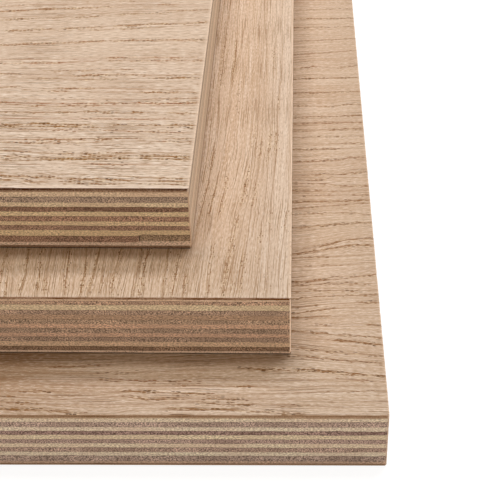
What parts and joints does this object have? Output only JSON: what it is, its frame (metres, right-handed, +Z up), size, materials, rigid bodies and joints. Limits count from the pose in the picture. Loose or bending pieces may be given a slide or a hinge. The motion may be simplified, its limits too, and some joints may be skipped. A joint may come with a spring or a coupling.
{
  "type": "stack of plywood sheets",
  "caption": "Fanned stack of square oak-faced plywood sheets lying flat, each sheet set back and left of the one below so its crossed core plies show on the cut edges; raw stock for joinery.",
  "frame": {"origin": "centre of the underside of the bottom sheet, on the floor that the stack lies on", "axes": "+Z up through the sheets, +X to the right along the front edge of the bottom sheet, +Y to the back; the upper sheets are fanned towards -X and +Y"},
  "size_m": [0.3481, 0.3448, 0.0536],
  "materials": {
    "oak_veneer": "sanded, unfinished oak",
    "long_ply": "sawn edge of pale rotary-cut veneer, grain along the sheet",
    "cross_ply": "sawn edge of brown rotary-cut veneer, grain across the sheet"
  },
  "bodies": {
    "root": {"bottom_sheet_back_veneer": "oak_veneer", "bottom_sheet_face_veneer": "oak_veneer", "bottom_sheet_ply_01": "long_ply", "bottom_sheet_ply_02": "cross_ply", "bottom_sheet_ply_03": "long_ply", "bottom_sheet_ply_04": "cross_ply", "bottom_sheet_ply_05": "long_ply", "bottom_sheet_ply_06": "cross_ply", "bottom_sheet_ply_07": "long_ply", "bottom_sheet_ply_08": "cross_ply", "bottom_sheet_ply_09": "long_ply", "bottom_sheet_ply_10": "cross_ply", "bottom_sheet_ply_11": "long_ply", "middle_sheet_back_veneer": "oak_veneer", "middle_sheet_face_veneer": "oak_veneer", "middle_sheet_ply_01": "long_ply", "middle_sheet_ply_02": "cross_ply", "middle_sheet_ply_03": "long_ply", "middle_sheet_ply_04": "cross_ply", "middle_sheet_ply_05": "long_ply", "middle_sheet_ply_06": "cross_ply", "middle_sheet_ply_07": "long_ply", "middle_sheet_ply_08": "cross_ply", "middle_sheet_ply_09": "long_ply", "middle_sheet_ply_10": "cross_ply", "middle_sheet_ply_11": "long_ply", "top_sheet_back_veneer": "oak_veneer", "top_sheet_face_veneer": "oak_veneer", "top_sheet_ply_01": "long_ply", "top_sheet_ply_02": "cross_ply", "top_sheet_ply_03": "long_ply", "top_sheet_ply_04": "cross_ply", "top_sheet_ply_05": "long_ply", "top_sheet_ply_06": "cross_ply", "top_sheet_ply_07": "long_ply", "top_sheet_ply_08": "cross_ply", "top_sheet_ply_09": "long_ply", "top_sheet_ply_10_left_strip": "cross_ply", "top_sheet_ply_10_right_strip": "cross_ply", "top_sheet_ply_11": "long_ply"}
  },
  "joints": []
}
